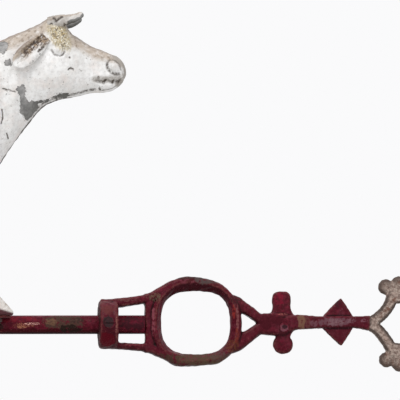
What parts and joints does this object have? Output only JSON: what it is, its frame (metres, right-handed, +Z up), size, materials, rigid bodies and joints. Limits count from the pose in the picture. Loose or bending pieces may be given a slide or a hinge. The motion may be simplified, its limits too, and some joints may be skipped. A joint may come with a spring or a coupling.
{
  "type": "weathervane",
  "caption": "Hollow cow figure on a red arrow with an open ring and an openwork tip, turning on a steel spindle.",
  "frame": {"origin": "foot of the spindle, on its axis", "axes": "+X along the arrow to its point, +Y to the cow's left, +Z up"},
  "size_m": [0.9505, 0.1, 0.4675],
  "materials": {
    "red_paint": "maroon red oil paint on iron, worn to brown",
    "white_paint_on_zinc": "chalky white paint on pressed zinc, worn to grey metal in patches",
    "bare_cast_iron": "unpainted sand-cast iron, grey beige",
    "steel": "plain dulled steel",
    "bronze": "machined bronze",
    "brass": "flat brass washer"
  },
  "bodies": {
    "mast": {"spindle": "steel", "thrust_collar": "steel", "thrust_collar_screw": "steel", "thrust_washer": "brass"},
    "vane": {"hub": "red_paint", "lower_bush": "bronze", "upper_bush": "bronze", "hub_cap": "red_paint", "hub_screws": "steel", "front_tube": "red_paint", "rear_tube": "red_paint", "ring_casting": "red_paint", "ring_screw": "steel", "arrow_shaft": "red_paint", "shaft_rivet": "red_paint", "arrow_tip": "bare_cast_iron", "tail_socket": "red_paint", "tail_screw": "steel", "tail_fin": "red_paint", "tail_rivets": "red_paint", "front_saddle": "red_paint", "rear_saddle": "red_paint", "front_strap": "red_paint", "rear_strap": "red_paint", "saddle_bolts": "steel", "saddle_nuts": "steel", "hoof_studs": "steel", "hoof_nuts": "steel", "cow_right_half": "white_paint_on_zinc", "cow_left_half": "white_paint_on_zinc", "front_right_inner_leg": "white_paint_on_zinc", "front_left_inner_leg": "white_paint_on_zinc", "hind_right_inner_leg": "white_paint_on_zinc", "hind_left_inner_leg": "white_paint_on_zinc", "right_ear": "white_paint_on_zinc", "left_ear": "white_paint_on_zinc", "right_horn": "white_paint_on_zinc", "left_horn": "white_paint_on_zinc", "udder": "white_paint_on_zinc", "cow_tail": "white_paint_on_zinc"}
  },
  "joints": [
    {"name": "vane_turn", "type": "hinge", "parent": "mast", "child": "vane", "pos_m": [0, 0, 0.2], "axis": [0, 0, 1], "continuous": true}
  ]
}
